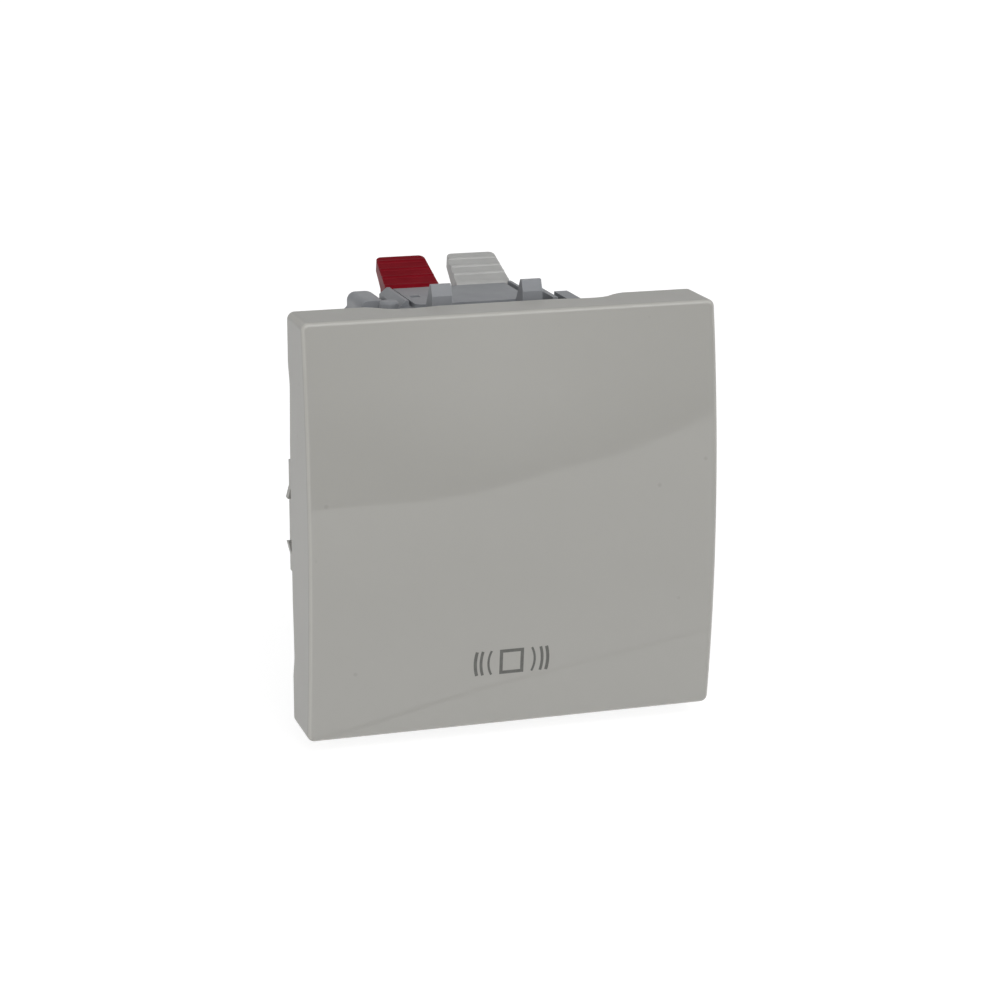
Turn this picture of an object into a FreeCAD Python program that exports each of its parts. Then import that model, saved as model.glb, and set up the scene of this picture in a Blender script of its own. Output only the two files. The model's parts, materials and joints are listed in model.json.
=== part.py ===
import FreeCAD, Part
import math
import os
import Sketcher

# Modular push-button switch, two modules wide, that snaps into a 45 mm mounting frame.
# Millimetres. X to the right, Y backwards into the wall, Z up. The origin is the middle of the
# plane in which the side nubs stop against the front of the mounting frame.

os.makedirs("parts", exist_ok=True)
doc = FreeCAD.newDocument("PushButton")
vector = FreeCAD.Vector


# Driving sizes

driving = {
    "key_width": (45.0, "key, left to right"),
    "key_height": (45.0, "key, bottom to top"),
    "key_reach": (8.0, "top and bottom front edges of the key, ahead of the seat"),
    "key_bulge": (1.85, "how far the face bows forward at mid height"),
    "key_skirt": (6.5, "depth of the skirt at its corner feet"),
    "key_face_wall": (1.8, "thickness of the key's face"),
    "key_side_wall": (1.4, "thickness of the skirt"),
    "key_corner": (0.8, "outline corner radius"),
    "key_edge": (0.5, "rounding round the face"),
    "top_foot_half": (14.4, "where the upper and lower corner feet begin, from the middle"),
    "top_scoop_half": (10.7, "deepest point of the upper and lower scoops, from the middle"),
    "top_scoop_deep": (1.9, "depth of the upper and lower scoops"),
    "top_middle_half": (6.5, "half width of the middle of the upper and lower skirt"),
    "top_middle_deep": (1.4, "how far the middle of the upper and lower skirt is set back"),
    "side_foot_half": (17.2, "where the side feet begin, from the middle"),
    "side_scoop_half": (14.6, "deepest point of the side scoops, from the middle"),
    "side_scoop_deep": (0.65, "depth of the side scoops"),
    "side_middle_deep": (0.3, "how far the middle of the side skirt is set back"),
    "side_run": (6.0, "from the deepest point of a side scoop to the middle part"),
    "hook_half": (7.0, "key hooks, from the middle"),
    "hook_width": (4.0, "width of a key hook"),
    "hook_wall": (1.2, "thickness of a key hook"),
    "hook_nose": (0.7, "how far a hook's nose reaches inwards"),
    "hook_long": (1.0, "how far a hook reaches behind the rocker's rear face"),
    "post_half": (5.0, "height of the key's spacer ribs, half"),
    "post_wall": (1.2, "thickness of the key's spacer ribs"),
    "snap_gap": (0.1, "clearance between pieces that snap together"),
    "hinge_ahead": (2.0, "hinge axis ahead of the seat"),
    "press_angle": (5.0, "full travel of the key, degrees"),
    "axle_radius": (1.0, "rocker axle"),
    "running_gap": (0.05, "radial clearance of a turning or sliding fit"),
    "rocker_width": (22.0, "rocker, left to right"),
    "rocker_height": (29.0, "rocker, bottom to top"),
    "rocker_wall": (1.4, "rocker plate"),
    "rocker_corner": (1.2, "corner radius of the rocker plate"),
    "rocker_ahead": (3.2, "rear face of the rocker plate, ahead of the seat"),
    "cheek_wall": (1.7, "rocker cheek"),
    "cheek_root_half": (3.6, "half height of a cheek where it leaves the plate"),
    "hub_wall": (0.9, "wall round the axle in cheeks and ears"),
    "ear_wall": (2.0, "axle ear of the deck"),
    "side_gap": (0.3, "side play beside a moving piece"),
    "stop_gap": (0.05, "clearance at a stop"),
    "stop_half": (8.0, "press stops, from the middle"),
    "stop_low": (12.4, "stops of the rocker, below and above the axis"),
    "stop_wide": (2.4, "width and height of a stop"),
    "floor_gap": (0.6, "clearance between the plunger's shoulder and the chamber floor"),
    "tappet_wide": (3.2, "width of the tappet"),
    "tappet_nose": (1.2, "radius of the tappet's nose"),
    "frame_width": (42.6, "support frame, left to right"),
    "frame_height": (42.4, "support frame, bottom to top"),
    "frame_corner": (2.5, "corner radius of the support frame"),
    "frame_front": (0.7, "front face of the frame plate, behind the seat"),
    "frame_wall": (1.5, "frame plate"),
    "frame_open_width": (34.4, "opening of the frame, width"),
    "frame_open_height": (32.8, "opening of the frame, height"),
    "notch_half": (7.5, "half width of the notch over a snap tongue"),
    "notch_floor": (19.2, "floor of that notch, from the middle"),
    "tongue_span": (43.6, "outer width over the side tongues"),
    "tongue_root": (1.0, "how far a side tongue reaches into the frame plate"),
    "tongue_ahead": (1.05, "front of the side tongues, ahead of the seat"),
    "tongue_top": (5.8, "upper end of a side tongue"),
    "tongue_low": (6.4, "lower end of a side tongue"),
    "nub_out": (0.85, "how far a nub stands out"),
    "nub_top_step": (2.3, "step of the upper nub"),
    "nub_top_end": (5.4, "end of the upper nub's ramp"),
    "nub_low_step": (2.5, "step of the lower nub"),
    "nub_low_end": (6.0, "end of the lower nub's ramp"),
    "arm_half": (9.0, "housing hooks of the frame, above and below the middle"),
    "arm_wide": (4.0, "height of such a hook"),
    "arm_wall": (1.2, "thickness of such a hook"),
    "arm_long": (4.6, "reach of such a hook"),
    "arm_nose": (0.5, "nose of such a hook"),
    "deck_wall": (1.3, "deck plate"),
    "deck_corner": (1.4, "corner radius of the deck"),
    "deck_gap": (0.2, "play between deck and frame"),
    "collar_wall": (1.3, "wall of the plunger's guide collar"),
    "plunger_radius": (1.5, "plunger stem"),
    "plunger_head": (0.4, "plunger head ahead of the seat"),
    "plunger_shoulder": (4.4, "front of the plunger's shoulder"),
    "shoulder_radius": (2.6, "plunger shoulder"),
    "shoulder_wall": (0.8, "thickness of the shoulder"),
    "core_radius": (1.0, "plunger core through bridge and spring"),
    "core_long": (2.2, "how far the core runs into the return spring"),
    "bridge_front": (7.4, "front of the contact bridge"),
    "bridge_wall": (0.6, "contact bridge"),
    "bridge_width": (14.4, "contact bridge, left to right"),
    "bridge_height": (4.0, "contact bridge, bottom to top"),
    "stop_ring_radius": (1.8, "ring that holds the bridge on the plunger"),
    "stop_ring_wall": (0.9, "thickness of that ring"),
    "tip_half": (5.5, "contacts, from the middle"),
    "tip_radius": (1.2, "contact tip"),
    "tip_wall": (0.8, "height of a contact tip"),
    "contact_gap": (0.05, "gap left when the key is down"),
    "bar_wall": (0.8, "current bar"),
    "bar_width": (4.6, "upright of a current bar"),
    "bar_shelf": (8.2, "shelf of a current bar"),
    "bar_below": (2.2, "how far a bar reaches below the plunger's axis"),
    "bar_top": (12.4, "upper side of the shelf"),
    "bar_end": (20.4, "rear end of the shelf"),
    "housing_width": (35.6, "housing, left to right"),
    "housing_height": (33.6, "housing, bottom to top"),
    "housing_corner": (3.0, "corner radius of the housing"),
    "housing_rear": (17.0, "rear face of the lower housing"),
    "housing_wall": (1.6, "side walls of the contact chamber"),
    "housing_edge": (0.8, "chamfer round the rear"),
    "chamber_top": (9.4, "ceiling of the contact chamber"),
    "block_half": (11.0, "half width of the terminal block"),
    "block_front": (5.5, "front of the tower over the body"),
    "block_top": (19.5, "top of the tower"),
    "block_rear": (25.0, "rear face of the terminal block"),
    "block_low": (6.5, "underside of the terminal block"),
    "block_bevel": (2.0, "bevel under the terminal block"),
    "roof_top": (17.5, "top of the block behind the levers"),
    "roof_run": (1.6, "length of the slope down to that roof"),
    "roof_bevel": (1.4, "bevel along the sides of that roof"),
    "slot_rear": (19.8, "rear end of the lever slots"),
    "slot_side": (7.9, "outer wall of the lever slots"),
    "hollow_rear": (7.7, "rear end of the hollow above the contacts"),
    "chamber_half": (0.6, "half of the partition between the terminals"),
    "chamber_side": (9.6, "outer wall of the terminal chambers"),
    "chamber_front": (8.4, "front of the terminal chambers"),
    "chamber_floor": (11.0, "floor of the terminal chambers"),
    "chamber_roof": (16.6, "ceiling of the rear part of the chambers"),
    "cap_wall": (3.3, "thickness of the rear cover"),
    "cap_inset": (0.2, "how far the rear cover sits inside the block"),
    "cap_side": (10.0, "half width of the rear opening"),
    "cap_gap": (0.12, "clearance round the rear cover"),
    "wire_radius": (1.95, "wire entry"),
    "wire_inner": (2.75, "inner wire entries, from the middle"),
    "wire_outer": (7.25, "outer wire entries, from the middle"),
    "wire_height": (13.9, "axis of the wire entries"),
    "wire_mouth": (0.25, "width of the flared mouth"),
    "left_shoulder_out": (12.05, "outer side of the left shoulder"),
    "left_shoulder_in": (8.6, "inner side of the left shoulder"),
    "left_shoulder_front": (9.0, "front of the left shoulder"),
    "left_shoulder_rear": (15.0, "rear end of the left shoulder"),
    "left_shoulder_round": (0.9, "rounding of the left shoulder's outer edge"),
    "left_shoulder_edge": (1.4, "rounding of the left shoulder's inner edge"),
    "right_shoulder_front": (4.0, "front of the right shoulder"),
    "right_shoulder_in": (9.97, "inner side of the right shoulder"),
    "right_shoulder_out": (11.47, "outer side of the right shoulder"),
    "right_shoulder_rear": (8.6, "rear end of the right shoulder"),
    "shoulder_top": (21.05, "top of both shoulders"),
    "knob_out": (9.35, "knob, left of the middle"),
    "knob_radius": (1.05, "knob"),
    "knob_top": (21.35, "top of the knob"),
    "knob_edge": (0.3, "rounding of the knob"),
    "knob_deep": (7.0, "knob, behind the seat"),
    "guide_in": (8.35, "inner side of the guide rib beside the cover"),
    "guide_out": (8.9, "outer side of that rib"),
    "guide_rear": (10.0, "rear end of that rib"),
    "guide_top": (21.3, "top of that rib"),
    "cover_top": (20.9, "top of the terminal cover's raised plate"),
    "cover_base": (0.9, "base sheet of the terminal cover"),
    "cover_half": (8.1, "half width of the terminal cover"),
    "cover_front": (6.2, "front lip of the terminal cover"),
    "cover_rear": (16.0, "rear edge of the terminal cover"),
    "plate_half": (6.5, "half width of the raised plate"),
    "plate_corner": (0.9, "front corners of the raised plate"),
    "rib_wall": (1.2, "foot of the cover's side ribs"),
    "rib_lean": (0.85, "how far a side rib leans inwards"),
    "rib_front": (7.7, "front end of the side ribs"),
    "rib_high": (1.6, "height of the side ribs over the base sheet's underside"),
    "window_front": (10.4, "moulding window in the cover, front"),
    "window_rear": (11.5, "moulding window, rear"),
    "window_edge": (0.6, "bar left beside the moulding window"),
    "window_wide": (1.1, "moulding window, width"),
    "window_deep": (0.7, "depth of the moulding window"),
    "latch_front": (1.0, "holding face of the snap teeth, behind the seat"),
    "latch_under": (19.7, "underside of the snap tongue"),
    "latch_wall": (0.6, "snap tongue"),
    "tooth_top": (23.9, "tip of the snap teeth"),
    "tooth_crease": (22.7, "where the tooth starts to lean back"),
    "tooth_lean": (0.5, "how far the tooth's upper facet leans back"),
    "tooth_long": (3.4, "length of a tooth's ramp at its foot"),
    "tooth_in": (3.95, "inner side of a tooth, from the middle"),
    "tooth_out": (6.15, "outer side of a tooth, from the middle"),
    "lever_half": (4.15, "lever middle, from the middle"),
    "lever_width": (6.2, "width of a lever at its foot"),
    "lever_tip_width": (5.5, "width of a lever at its tip"),
    "lever_wall": (1.2, "thickness of a lever"),
    "lever_axis_deep": (17.6, "lever pin, behind the seat"),
    "lever_axis_high": (17.4, "lever pin, above the middle"),
    "lever_hub": (1.7, "hub radius of a lever"),
    "lever_pin_radius": (0.8, "lever pin"),
    "lever_rise": (21.25, "top of a lever where it leaves the cover"),
    "lever_tip_high": (23.45, "top of a lever at its tip"),
    "lever_tip_deep": (22.0, "tip of a lever, behind the seat"),
    "lever_corner": (0.7, "rounded corners of a lever's tip"),
    "lever_gap": (0.3, "gap between the cover and a lever"),
    "lever_round": (0.8, "rounding of a lever's front edge"),
    "lever_root": (2.6, "thickness of a lever where it rises from its hub"),
    "lever_nose_long": (3.3, "reach of a lever's nose to the spring"),
    "grip_radius": (0.4, "radius of the grip ribs of a lever"),
    "grip_sink": (0.28, "how deep the middle of a grip rib lies in the lever"),
    "grip_first": (1.3, "first grip rib, behind the lever's front"),
    "grip_pitch": (1.4, "distance of the grip ribs"),
    "clamp_wall": (0.4, "clamp spring strip"),
    "clamp_reach": (3.0, "how far the clamp spring's free end leans forward"),
    "clamp_width": (7.0, "clamp spring, left to right"),
    "return_wire": (0.45, "return spring wire"),
    "return_coil": (1.9, "return spring, mean radius"),
    "contact_wire": (0.35, "contact spring wire"),
    "contact_coil": (1.7, "contact spring, mean radius"),
    "spring_seat": (15.4, "floor of the return spring's well"),
    "well_radius": (2.7, "well of the return spring"),
}

sheet = doc.addObject("Spreadsheet::Sheet", "Sizes")
for row, (alias, (number, note)) in enumerate(driving.items(), start=1):
    sheet.set("A%d" % row, alias)
    sheet.set("B%d" % row, str(number))
    sheet.set("C%d" % row, note)
    sheet.setAlias("B%d" % row, alias)
doc.recompute()


class Size:
    """A number together with the expression that gives it from the sheet."""

    def __init__(self, value, text):
        self.value = value
        self.text = text

    def __add__(self, other):
        other = sized(other)
        return Size(self.value + other.value, "(%s + %s)" % (self.text, other.text))

    def __sub__(self, other):
        other = sized(other)
        return Size(self.value - other.value, "(%s - %s)" % (self.text, other.text))

    def __mul__(self, other):
        other = sized(other)
        return Size(self.value * other.value, "%s * %s" % (self.text, other.text))

    def __truediv__(self, other):
        other = sized(other)
        return Size(self.value / other.value, "%s / %s" % (self.text, other.text))

    def __radd__(self, other):
        return sized(other) + self

    def __rsub__(self, other):
        return sized(other) - self

    def __rmul__(self, other):
        return sized(other) * self

    def __neg__(self):
        return Size(-self.value, "(-%s)" % self.text)


def sized(number):
    if isinstance(number, Size):
        return number
    return Size(float(number), "(%.6f)" % number if number < 0 else "%.6f" % number)


def sine(angle):
    return Size(math.sin(math.radians(angle.value)), "sin(%s * 1deg)" % angle.text)


def cosine(angle):
    return Size(math.cos(math.radians(angle.value)), "cos(%s * 1deg)" % angle.text)


class Table:
    """The sheet's sizes by name."""


s = Table()
for alias in driving:
    setattr(s, alias, Size(float(sheet.get(alias)), "Sizes." + alias))


# Helpers for bodies, sketches and features

def new_body(label):
    body = doc.addObject("PartDesign::Body", label)
    body.Label = label
    return body


def bind(thing, name, size):
    size = sized(size)
    thing.setExpression(name, size.text)


def new_sketch(body, plane, offset=0):
    """Sketch on an origin plane: XY looks up, XZ looks forward (-Y), YZ looks right."""
    sketch = body.newObject("Sketcher::SketchObject", "Sketch")
    base = [f for f in body.Origin.OriginFeatures if f.Role == plane + "_Plane"][0]
    sketch.AttachmentSupport = [(base, "")]
    sketch.MapMode = "FlatFace"
    offset = sized(offset)
    if plane == "XZ":
        offset = -offset
    bind(sketch, "AttachmentOffset.Base.z", offset)
    return sketch


def pin_point(sketch, item, which, x, y):
    for kind, axis, size in (("DistanceX", -2, sized(x)), ("DistanceY", -1, sized(y))):
        if size.text == "0.000000":
            sketch.addConstraint(Sketcher.Constraint("PointOnObject", item, which, axis))
            continue
        index = sketch.addConstraint(Sketcher.Constraint(kind, -1, 1, item, which, size.value))
        sketch.setExpression("Constraints[%d]" % index, size.text)


def outline(sketch, points):
    """Closed outline. A point (x, y) ends a line; (mid x, mid y, x, y) ends an arc."""
    flat = [(sized(p[-2]), sized(p[-1])) for p in points]
    spots = [vector(x.value, y.value, 0) for x, y in flat]
    items = []
    for index, point in enumerate(points):
        start = spots[index - 1]
        end = spots[index]
        if len(point) == 2:
            items.append(sketch.addGeometry(Part.LineSegment(start, end), False))
            continue
        middle = vector(sized(point[0]).value, sized(point[1]).value, 0)
        arc = Part.Arc(start, middle, end)
        items.append(sketch.addGeometry(arc, False))
        mark = sketch.addGeometry(Part.Point(middle), True)
        pin_point(sketch, mark, 1, point[0], point[1])
        sketch.addConstraint(Sketcher.Constraint("PointOnObject", mark, 1, items[-1]))
    # the solver runs every arc anticlockwise, so ends are matched by place
    for index, item in enumerate(items):
        first = start_of(sketch, item, spots[index - 1])
        last = 3 - first
        follower = items[(index + 1) % len(items)]
        joins = start_of(sketch, follower, spots[index])
        sketch.addConstraint(Sketcher.Constraint("Coincident", item, last, follower, joins))
        pin_point(sketch, item, last, *flat[index])


def start_of(sketch, item, spot):
    """Which end of a sketch line or arc lies at a spot, as the solver counts ends."""
    return 1 if (sketch.getPoint(item, 1) - spot).Length < 1e-6 else 2


def rectangle(sketch, x0, y0, x1, y1):
    outline(sketch, [(x0, y0), (x1, y0), (x1, y1), (x0, y1)])


def round_rectangle(sketch, half_x, half_y, radius):
    """Rectangle about the origin with quarter-round corners."""
    turn = 1 - math.sqrt(0.5)
    cut = radius * turn
    outline(sketch, [
        (half_x - radius, -half_y),
        (half_x - cut, cut - half_y, half_x, radius - half_y),
        (half_x, half_y - radius),
        (half_x - cut, half_y - cut, half_x - radius, half_y),
        (radius - half_x, half_y),
        (cut - half_x, half_y - cut, -half_x, half_y - radius),
        (-half_x, radius - half_y),
        (cut - half_x, cut - half_y, radius - half_x, -half_y),
    ])


def circle(sketch, x, y, radius):
    x, y, radius = sized(x), sized(y), sized(radius)
    ring = Part.Circle(vector(x.value, y.value, 0), vector(0, 0, 1), radius.value)
    item = sketch.addGeometry(ring, False)
    pin_point(sketch, item, 3, x, y)
    index = sketch.addConstraint(Sketcher.Constraint("Radius", item, radius.value))
    sketch.setExpression("Constraints[%d]" % index, radius.text)


def feature(body, kind, sketch, length, way):
    """way is 'ahead' (along the sketch's normal), 'back' or 'both'."""
    made = body.newObject("PartDesign::" + kind, kind)
    made.Profile = sketch
    made.Refine = True
    made.SideType = "Symmetric" if way == "both" else "One side"
    against = way == "back"
    made.Reversed = against if kind == "Pad" else not against
    bind(made, "Length", length)
    sketch.Visibility = False
    doc.recompute()
    return made


def pad(body, sketch, length, way="both"):
    return feature(body, "Pad", sketch, length, way)


def pocket(body, sketch, length, way="both"):
    before = body.Shape.Volume
    made = feature(body, "Pocket", sketch, length, way)
    if body.Shape.Volume > before - 1e-3:
        raise ValueError("a cut in %s removes nothing" % body.Label)
    return made


def soften(body, kind, size, chosen):
    """Fillet or Chamfer on the edges of the body's tip that chosen(edge) picks."""
    base = body.Tip
    picked = ["Edge%d" % (i + 1) for i, e in enumerate(base.Shape.Edges) if chosen(e)]
    if not picked:
        raise ValueError("no edge to soften in %s" % body.Label)
    made = body.newObject("PartDesign::" + kind, kind)
    made.Base = (base, picked)
    bind(made, "Radius" if kind == "Fillet" else "Size", size)
    doc.recompute()
    return made


def along(edge, axis):
    """True for a straight edge that runs along an axis."""
    if edge.Curve.TypeId != "Part::GeomLine":
        return False
    run = edge.Vertexes[-1].Point - edge.Vertexes[0].Point
    return abs(abs(run.dot(axis)) - run.Length) < 1e-6


along_x = vector(1, 0, 0)
along_y = vector(0, 1, 0)
past = 1.0  # how far a cut starts or ends outside the material

key_front = -s.key_reach
key_half_x = s.key_width / 2
key_half_z = s.key_height / 2
foot_y = s.key_skirt - s.key_reach
hinge_y = -s.hinge_ahead
deck_rear = s.frame_front + s.frame_wall
deck_front = deck_rear - s.deck_wall
housing_front = deck_rear
rocker_rear = -s.rocker_ahead
rocker_front = rocker_rear - s.rocker_wall
plunger_front = -s.plunger_head
plunger_low = s.housing_height / 2 - s.housing_wall - s.floor_gap - s.shoulder_radius
travel = plunger_low * sine(s.press_angle)


# Key: bowed face with a scooped skirt, clipped onto the rocker

def make_key():
    body = new_body("key")
    inner_x = key_half_x - s.key_side_wall
    inner_z = key_half_z - s.key_side_wall

    side = new_sketch(body, "YZ")
    outline(side, [
        (key_front, -key_half_z),
        (key_front - s.key_bulge, 0, key_front, key_half_z),
        (foot_y, key_half_z),
        (foot_y, -key_half_z),
    ])
    pad(body, side, s.key_width)
    corner = key_half_x.value - 1e-3
    soften(body, "Fillet", s.key_corner, lambda e: along(e, along_y) and abs(e.BoundBox.XMax) > corner)
    rear = (key_front + s.key_skirt / 2).value
    soften(body, "Fillet", s.key_edge, lambda e: e.BoundBox.YMax < rear and not along(e, along_y))

    hollow = new_sketch(body, "YZ")
    inner_front = key_front + s.key_face_wall
    outline(hollow, [
        (inner_front, -inner_z),
        (inner_front - s.key_bulge, 0, inner_front, inner_z),
        (foot_y + past, inner_z),
        (foot_y + past, -inner_z),
    ])
    pocket(body, hollow, inner_x * 2)

    # scoops of the upper and lower skirt
    wave = new_sketch(body, "XY")
    scoop = foot_y - s.top_scoop_deep
    middle = foot_y - s.top_middle_deep
    run = s.top_foot_half - s.top_scoop_half
    inward = s.top_scoop_half - s.top_middle_half
    half = [
        (s.top_foot_half - run * 0.16, foot_y - s.top_scoop_deep * 0.12,
         s.top_scoop_half + run * 0.58, foot_y - s.top_scoop_deep * 0.45),
        (s.top_scoop_half + run * 0.22, foot_y - s.top_scoop_deep * 0.92, s.top_scoop_half, scoop),
        (s.top_scoop_half - inward * 0.48, foot_y - s.top_scoop_deep * 0.95, s.top_middle_half, middle),
    ]
    outline(wave, mirrored_wave(half, (s.top_foot_half, foot_y), foot_y + past))
    pocket(body, wave, s.key_height + past * 2)

    # shallower scoops of the two sides
    ripple = new_sketch(body, "YZ")
    scoop = foot_y - s.side_scoop_deep
    middle = foot_y - s.side_middle_deep
    run = s.side_foot_half - s.side_scoop_half
    half = [
        (s.side_foot_half - run * 0.15, foot_y - s.side_scoop_deep * 0.15,
         s.side_foot_half - run * 0.46, foot_y - s.side_scoop_deep * 0.5),
        (s.side_scoop_half + run * 0.23, foot_y - s.side_scoop_deep * 0.91, s.side_scoop_half, scoop),
        (s.side_scoop_half - s.side_run * 0.43, foot_y - s.side_scoop_deep * 0.82,
         s.side_scoop_half - s.side_run, middle),
    ]
    turned = mirrored_wave(half, (s.side_foot_half, foot_y), foot_y + past)
    outline(ripple, [swapped(p) for p in turned])
    pocket(body, ripple, s.key_width + past * 2)

    # four hooks behind the rocker's upper and lower edges, with their noses
    reach = rocker_rear + s.hook_long
    root = key_front + s.key_face_wall * 0.28
    hook_in = s.rocker_height / 2 + s.snap_gap
    for side_z in (-1, 1):
        hooks = new_sketch(body, "XZ", reach)
        for side_x in (-1, 1):
            x0 = side_x * s.hook_half - s.hook_width / 2
            rectangle(hooks, x0, side_z * hook_in, x0 + s.hook_width, side_z * (hook_in + s.hook_wall))
        pad(body, hooks, reach - root, "ahead")
        noses = new_sketch(body, "YZ")
        outline(noses, [
            (rocker_rear + s.snap_gap, side_z * (hook_in + s.hook_wall / 2)),
            (rocker_rear + s.snap_gap, side_z * (hook_in - s.hook_nose)),
            (reach, side_z * hook_in),
            (reach, side_z * (hook_in + s.hook_wall / 2)),
        ])
        pad(body, noses, s.hook_half * 2 + s.hook_width)
    gap = new_sketch(body, "XZ", reach)
    rectangle(gap, s.hook_width / 2 - s.hook_half, -hook_in - s.hook_wall,
              s.hook_half - s.hook_width / 2, hook_in + s.hook_wall)
    pocket(body, gap, reach - rocker_rear, "ahead")

    # spacer ribs between face and rocker, their front ends inside the bowed wall
    ribs = new_sketch(body, "XZ", rocker_front)
    for side_x in (-1, 1):
        for side_z in (-1, 1):
            x0 = side_x * (s.hook_half + s.hook_width / 2)
            z0 = side_z * (s.rocker_height / 2 - s.hook_wall)
            rectangle(ribs, x0, z0, x0 - side_x * s.post_wall, z0 - side_z * s.post_half * 2)
    pad(body, ribs, rocker_front - key_front + s.key_bulge - s.key_face_wall / 2, "ahead")
    return body


def mirrored_wave(half, foot, rear):
    """Cut outline from the right foot over the middle to the left foot."""
    points = [(foot[0], rear), foot] + half
    back = []
    last = half[-1]
    back.append((-last[2], last[3]))
    before = [foot] + [(p[2], p[3]) for p in half[:-1]]
    for step, target in zip(reversed(half), reversed(before)):
        back.append((-step[0], step[1], -target[0], target[1]))
    return points + back + [(-foot[0], rear)]


def swapped(point):
    """Exchange the two axes of an outline point."""
    if len(point) == 2:
        return (point[1], point[0])
    return (point[1], point[0], point[3], point[2])


# Rocker: plate with hinge cheeks, tappet and stops

def make_rocker():
    body = new_body("rocker")
    plate = new_sketch(body, "XZ", rocker_rear)
    round_rectangle(plate, s.rocker_width / 2, s.rocker_height / 2, s.rocker_corner)
    pad(body, plate, s.rocker_wall, "ahead")

    hub = s.axle_radius + s.hub_wall
    slope = hub * math.sqrt(0.5)
    for side in (-1, 1):
        cheek = new_sketch(body, "YZ", side * (s.rocker_width - s.cheek_wall) / 2)
        outline(cheek, [
            (rocker_rear - s.rocker_wall / 2, -s.cheek_root_half),
            (rocker_rear, -s.cheek_root_half),
            (hinge_y + slope, -slope),
            (hinge_y + hub, 0, hinge_y + slope, slope),
            (rocker_rear, s.cheek_root_half),
            (rocker_rear - s.rocker_wall / 2, s.cheek_root_half),
        ])
        pad(body, cheek, s.cheek_wall)
    bore = new_sketch(body, "YZ")
    circle(bore, hinge_y, 0, s.axle_radius + s.running_gap)
    pocket(body, bore, s.rocker_width + past * 2)

    nose = plunger_front - s.stop_gap
    tappet = new_sketch(body, "YZ")
    outline(tappet, [
        (rocker_rear - s.rocker_wall / 2, -plunger_low - s.tappet_nose),
        (nose - s.tappet_nose, -plunger_low - s.tappet_nose),
        (nose, -plunger_low, nose - s.tappet_nose, s.tappet_nose - plunger_low),
        (rocker_rear - s.rocker_wall / 2, s.tappet_nose - plunger_low),
    ])
    pad(body, tappet, s.tappet_wide)

    # the upper stop rests on the deck; the lower ones meet it when the key is down
    rest_end = deck_front - s.stop_gap
    swing = (s.stop_low + s.stop_wide / 2) * sine(s.press_angle)
    press_end = hinge_y + (rest_end - hinge_y - swing) / cosine(s.press_angle)
    for end, side_z in ((rest_end, 1), (press_end, -1)):
        stops = new_sketch(body, "XZ", end)
        for side_x in (-1, 1):
            x0 = side_x * s.stop_half - s.stop_wide / 2
            z0 = side_z * s.stop_low - s.stop_wide / 2
            rectangle(stops, x0, z0, x0 + s.stop_wide, z0 + s.stop_wide)
        pad(body, stops, end - rocker_rear + s.rocker_wall / 2, "ahead")
    return body


def make_rod(label, radius, half, y, z):
    """Round steel pin across the part."""
    rod = doc.addObject("Part::Cylinder", label)
    rod.Label = label
    bind(rod, "Radius", radius)
    bind(rod, "Height", half * 2)
    rod.Placement = FreeCAD.Placement(vector(0, 0, 0), FreeCAD.Rotation(vector(0, 1, 0), 90))
    bind(rod, "Placement.Base.x", -half)
    bind(rod, "Placement.Base.y", y)
    bind(rod, "Placement.Base.z", z)
    doc.recompute()
    return rod


# Deck: closes the housing, carries the axle and guides the plunger

ear_in = s.rocker_width / 2 + s.side_gap
ear_out = ear_in + s.ear_wall
collar_end = s.plunger_shoulder - s.stop_gap


def make_deck():
    body = new_body("front_deck")
    plate = new_sketch(body, "XZ", deck_rear)
    half_x = s.frame_open_width / 2 - s.deck_gap
    half_z = s.frame_open_height / 2 - s.deck_gap
    round_rectangle(plate, half_x, half_z, s.deck_corner)
    pad(body, plate, s.deck_wall, "ahead")

    hub = s.axle_radius + s.hub_wall
    slope = hub * math.sqrt(0.5)
    for side in (-1, 1):
        ear = new_sketch(body, "YZ", side * (ear_in + s.ear_wall / 2))
        outline(ear, [
            (deck_rear - s.deck_wall / 2, -s.cheek_root_half),
            (deck_front, -s.cheek_root_half),
            (hinge_y - slope, -slope),
            (hinge_y - hub, 0, hinge_y - slope, slope),
            (deck_front, s.cheek_root_half),
            (deck_rear - s.deck_wall / 2, s.cheek_root_half),
        ])
        pad(body, ear, s.ear_wall)
    eye = new_sketch(body, "YZ")
    circle(eye, hinge_y, 0, s.axle_radius + s.running_gap / 2)
    pocket(body, eye, ear_out * 2 + past * 2)

    collar = new_sketch(body, "XZ", collar_end)
    circle(collar, 0, -plunger_low, s.plunger_radius + s.running_gap + s.collar_wall)
    pad(body, collar, collar_end - deck_front - s.deck_wall / 2, "ahead")
    guide = new_sketch(body, "XZ", collar_end + past)
    circle(guide, 0, -plunger_low, s.plunger_radius + s.running_gap)
    pocket(body, guide, collar_end - deck_front + past * 2, "ahead")
    return body


# Support frame: plate with side tongues, nubs and hooks for the housing

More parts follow.
